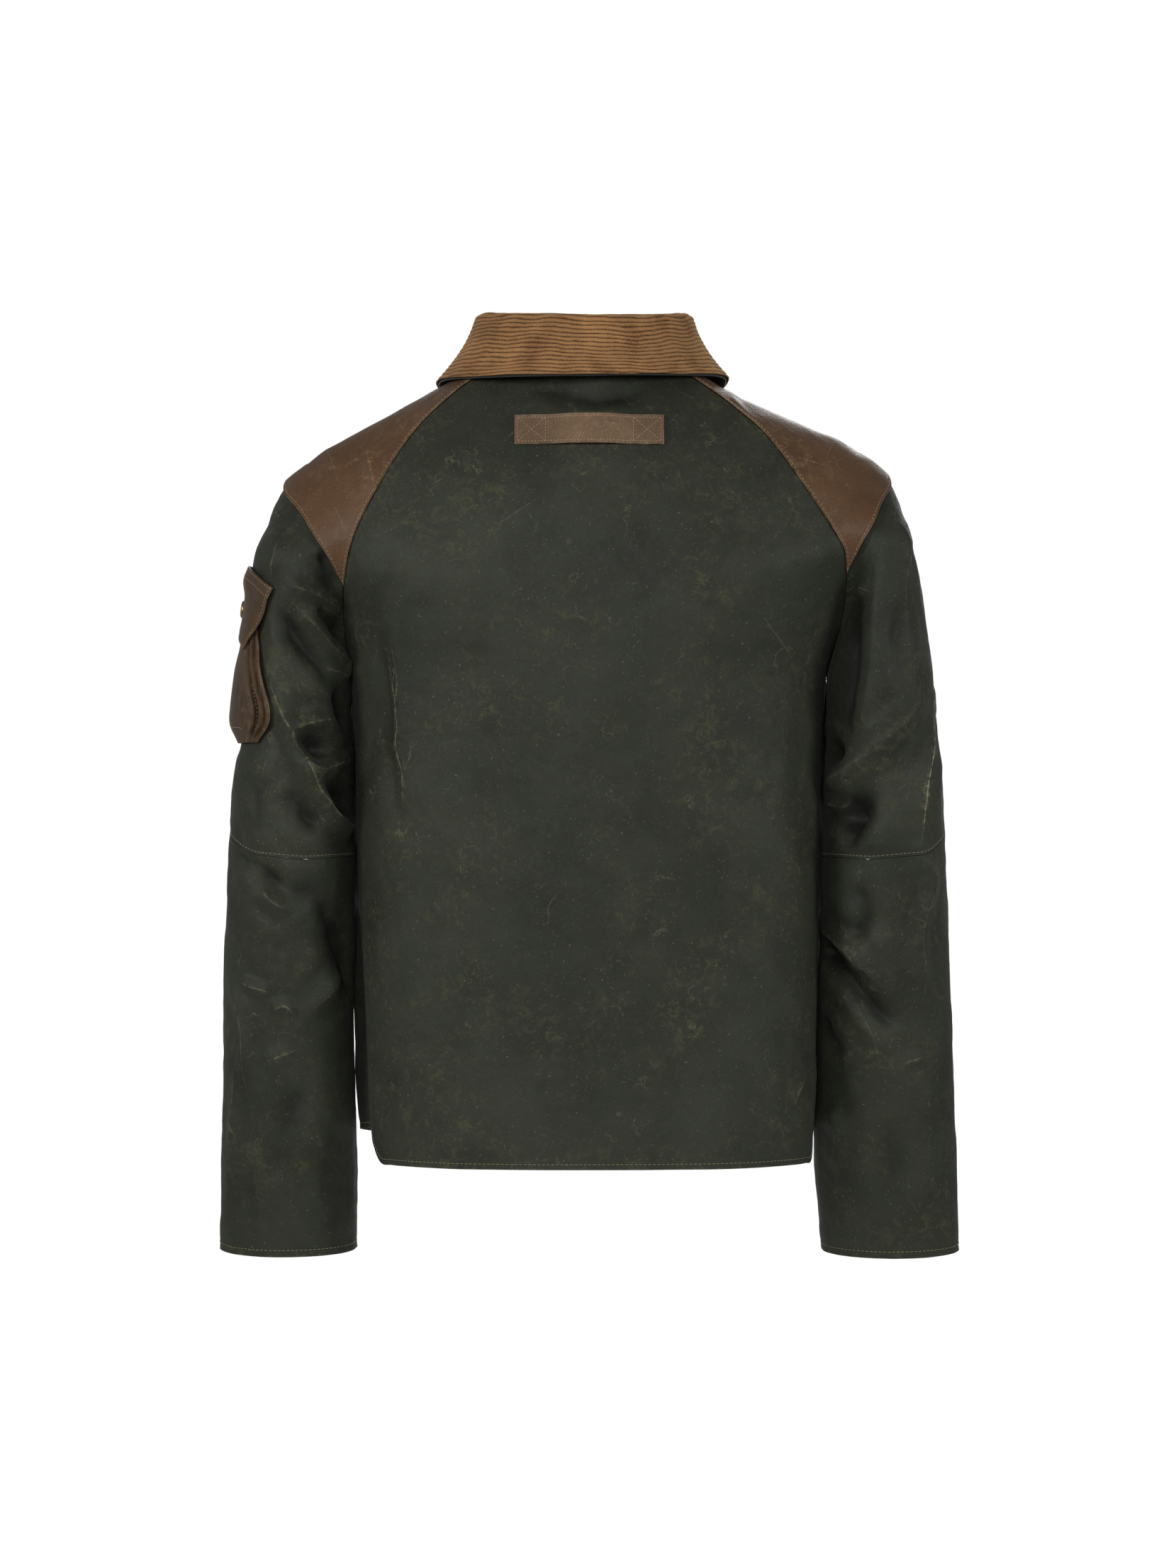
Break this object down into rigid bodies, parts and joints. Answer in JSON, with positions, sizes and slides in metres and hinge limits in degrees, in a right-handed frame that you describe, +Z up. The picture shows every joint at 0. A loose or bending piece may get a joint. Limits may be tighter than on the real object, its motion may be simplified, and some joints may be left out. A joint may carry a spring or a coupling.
{
  "type": "worn waxed cotton jacket",
  "caption": "Hollow waxed cotton jacket in its worn pose, with a ribbed collar, shoulder patches, a back tab and a flapped sleeve pocket",
  "frame": {"origin": "the middle of the neck, level with the seam of the collar at the back, where the wearer's neck holds the jacket", "axes": "+X the wearer's right, +Y the front of the jacket, +Z up"},
  "size_m": [0.5868, 0.2602, 0.7422],
  "materials": {
    "waxed_cotton": "waxed, matt with a soft sheen",
    "brown_cloth": "matt canvas",
    "corduroy": "ribbed, soft nap",
    "under_collar_cloth": "waxed, matt",
    "stud_brass": "satin, slightly worn"
  },
  "bodies": {
    "root": {"back": "waxed_cotton", "front_left": "waxed_cotton", "front_right": "waxed_cotton", "sleeve_upper_left": "waxed_cotton", "sleeve_upper_right": "waxed_cotton", "sleeve_lower_left": "waxed_cotton", "sleeve_lower_right": "waxed_cotton", "shoulder_patch_left": "brown_cloth", "shoulder_patch_right": "brown_cloth", "back_tab": "brown_cloth", "pocket_body": "brown_cloth", "pocket_flap": "brown_cloth", "top_collar": "corduroy", "under_collar": "under_collar_cloth", "front_stud_1": "stud_brass", "front_stud_2": "stud_brass", "front_stud_3": "stud_brass", "front_stud_4": "stud_brass", "front_stud_5": "stud_brass", "pocket_stud": "stud_brass"}
  },
  "joints": []
}
